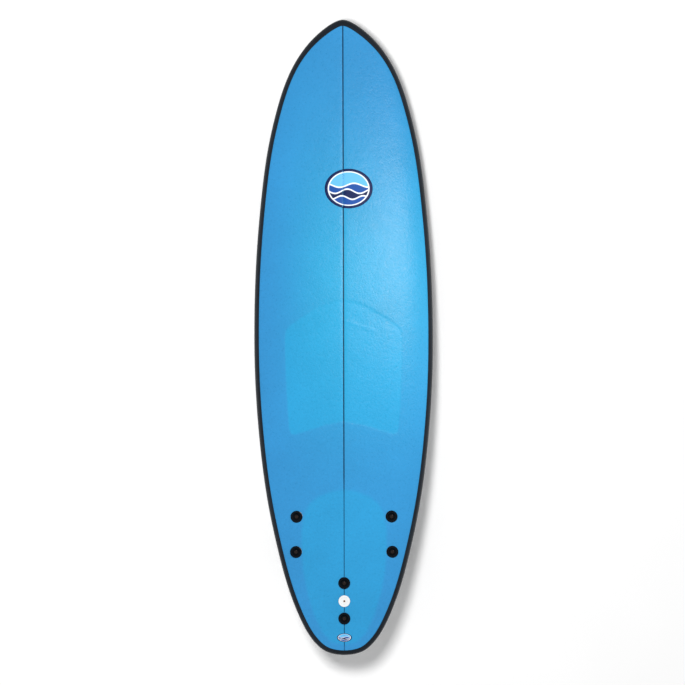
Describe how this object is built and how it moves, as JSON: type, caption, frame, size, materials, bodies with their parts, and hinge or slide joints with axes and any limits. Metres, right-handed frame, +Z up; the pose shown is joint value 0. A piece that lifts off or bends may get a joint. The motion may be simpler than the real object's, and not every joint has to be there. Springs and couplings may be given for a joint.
{
  "type": "soft-top surfboard",
  "caption": "Soft-top surfboard with a foam deck and rails, a slick hull, bolt-through fins held by screws from the deck, and a leash plug.",
  "frame": {"origin": "centre of the bounding box at floor level, with the board resting on its belly and its two side fins' tips", "axes": "+X is the board's right with the deck up, +Y points to the nose, +Z is up"},
  "size_m": [0.559, 1.981, 0.1892],
  "materials": {
    "deck_foam": "pebbled closed-cell foam",
    "rail_foam": "smooth closed-cell foam",
    "hull_slick": "slick sheet, fine grain",
    "core_foam": "expanded bead foam",
    "plywood": "raw plywood",
    "black_plastic": "moulded, satin",
    "white_plastic": "moulded, satin",
    "printed_film": "printed film",
    "fin_plastic": "moulded, semi-gloss",
    "brass": "machined",
    "washer_plastic": "moulded, satin",
    "stainless": "machined, dark stainless steel"
  },
  "bodies": {
    "board": {"deck_skin": "deck_foam", "hull_skin": "hull_slick", "core_outer_left": "core_foam", "core_outer_right": "core_foam", "core_inner_left": "core_foam", "core_inner_right": "core_foam", "stringer_centre": "plywood", "stringer_left": "plywood", "stringer_right": "plywood", "rail_left": "rail_foam", "rail_right": "rail_foam", "leash_plug_cap": "white_plastic", "leash_plug_cup": "white_plastic", "badge_front": "printed_film", "badge_tail": "printed_film", "sleeve_left_front": "black_plastic", "sleeve_left_rear": "black_plastic", "sleeve_right_front": "black_plastic", "sleeve_right_rear": "black_plastic", "sleeve_centre_front": "black_plastic", "sleeve_centre_rear": "black_plastic"},
    "fin_left": {"fin_left": "fin_plastic", "insert_left_front": "brass", "insert_left_rear": "brass"},
    "washer_left_front": {"washer_left_front": "washer_plastic"},
    "screw_left_front": {"screw_left_front": "stainless"},
    "washer_left_rear": {"washer_left_rear": "washer_plastic"},
    "screw_left_rear": {"screw_left_rear": "stainless"},
    "fin_right": {"fin_right": "fin_plastic", "insert_right_front": "brass", "insert_right_rear": "brass"},
    "washer_right_front": {"washer_right_front": "washer_plastic"},
    "screw_right_front": {"screw_right_front": "stainless"},
    "washer_right_rear": {"washer_right_rear": "washer_plastic"},
    "screw_right_rear": {"screw_right_rear": "stainless"},
    "fin_centre": {"fin_centre": "fin_plastic", "insert_centre_front": "brass", "insert_centre_rear": "brass"},
    "washer_centre_front": {"washer_centre_front": "washer_plastic"},
    "screw_centre_front": {"screw_centre_front": "stainless"},
    "washer_centre_rear": {"washer_centre_rear": "washer_plastic"},
    "screw_centre_rear": {"screw_centre_rear": "stainless"}
  },
  "joints": [
    {"name": "fin_left_pull", "type": "slide", "parent": "board", "child": "fin_left", "axis": [-0.0512, -0.1535, -0.9868], "range_m": [0, 0.02]},
    {"name": "screw_left_front_lift", "type": "slide", "parent": "board", "child": "washer_left_front", "axis": [0.0512, 0.1535, 0.9868], "range_m": [0, 0.012]},
    {"name": "screw_left_front_turn", "type": "hinge", "parent": "washer_left_front", "child": "screw_left_front", "pos_m": [-0.14893, -0.56417, 0.13365], "axis": [0.0512, 0.1535, 0.9868], "range_deg": [0, 4320]},
    {"name": "screw_left_rear_lift", "type": "slide", "parent": "board", "child": "washer_left_rear", "axis": [0.0512, 0.1535, 0.9868], "range_m": [0, 0.012]},
    {"name": "screw_left_rear_turn", "type": "hinge", "parent": "washer_left_rear", "child": "screw_left_rear", "pos_m": [-0.15058, -0.67235, 0.15055], "axis": [0.0512, 0.1535, 0.9868], "range_deg": [0, 4320]},
    {"name": "fin_right_pull", "type": "slide", "parent": "board", "child": "fin_right", "axis": [0.0512, -0.1535, -0.9868], "range_m": [0, 0.02]},
    {"name": "screw_right_front_lift", "type": "slide", "parent": "board", "child": "washer_right_front", "axis": [-0.0512, 0.1535, 0.9868], "range_m": [0, 0.012]},
    {"name": "screw_right_front_turn", "type": "hinge", "parent": "washer_right_front", "child": "screw_right_front", "pos_m": [0.14893, -0.56417, 0.13365], "axis": [-0.0512, 0.1535, 0.9868], "range_deg": [0, 4320]},
    {"name": "screw_right_rear_lift", "type": "slide", "parent": "board", "child": "washer_right_rear", "axis": [-0.0512, 0.1535, 0.9868], "range_m": [0, 0.012]},
    {"name": "screw_right_rear_turn", "type": "hinge", "parent": "washer_right_rear", "child": "screw_right_rear", "pos_m": [0.15058, -0.67235, 0.15055], "axis": [-0.0512, 0.1535, 0.9868], "range_deg": [0, 4320]},
    {"name": "fin_centre_pull", "type": "slide", "parent": "board", "child": "fin_centre", "axis": [0, -0.1724, -0.985], "range_m": [0, 0.02]},
    {"name": "screw_centre_front_lift", "type": "slide", "parent": "board", "child": "washer_centre_front", "axis": [0, 0.1724, 0.985], "range_m": [0, 0.012]},
    {"name": "screw_centre_front_turn", "type": "hinge", "parent": "washer_centre_front", "child": "screw_centre_front", "pos_m": [0, -0.76907, 0.16328], "axis": [0, 0.1724, 0.985], "range_deg": [0, 4320]},
    {"name": "screw_centre_rear_lift", "type": "slide", "parent": "board", "child": "washer_centre_rear", "axis": [0, 0.1724, 0.985], "range_m": [0, 0.012]},
    {"name": "screw_centre_rear_turn", "type": "hinge", "parent": "washer_centre_rear", "child": "screw_centre_rear", "pos_m": [0, -0.87693, 0.18216], "axis": [0, 0.1724, 0.985], "range_deg": [0, 4320]}
  ],
  "couplings": [
    {"joint": "screw_left_front_turn", "follows": "screw_left_front_lift", "rad_per_m": 6283.2},
    {"joint": "screw_left_rear_turn", "follows": "screw_left_rear_lift", "rad_per_m": 6283.2},
    {"joint": "screw_right_front_turn", "follows": "screw_right_front_lift", "rad_per_m": 6283.2},
    {"joint": "screw_right_rear_turn", "follows": "screw_right_rear_lift", "rad_per_m": 6283.2},
    {"joint": "screw_centre_front_turn", "follows": "screw_centre_front_lift", "rad_per_m": 6283.2},
    {"joint": "screw_centre_rear_turn", "follows": "screw_centre_rear_lift", "rad_per_m": 6283.2}
  ]
}
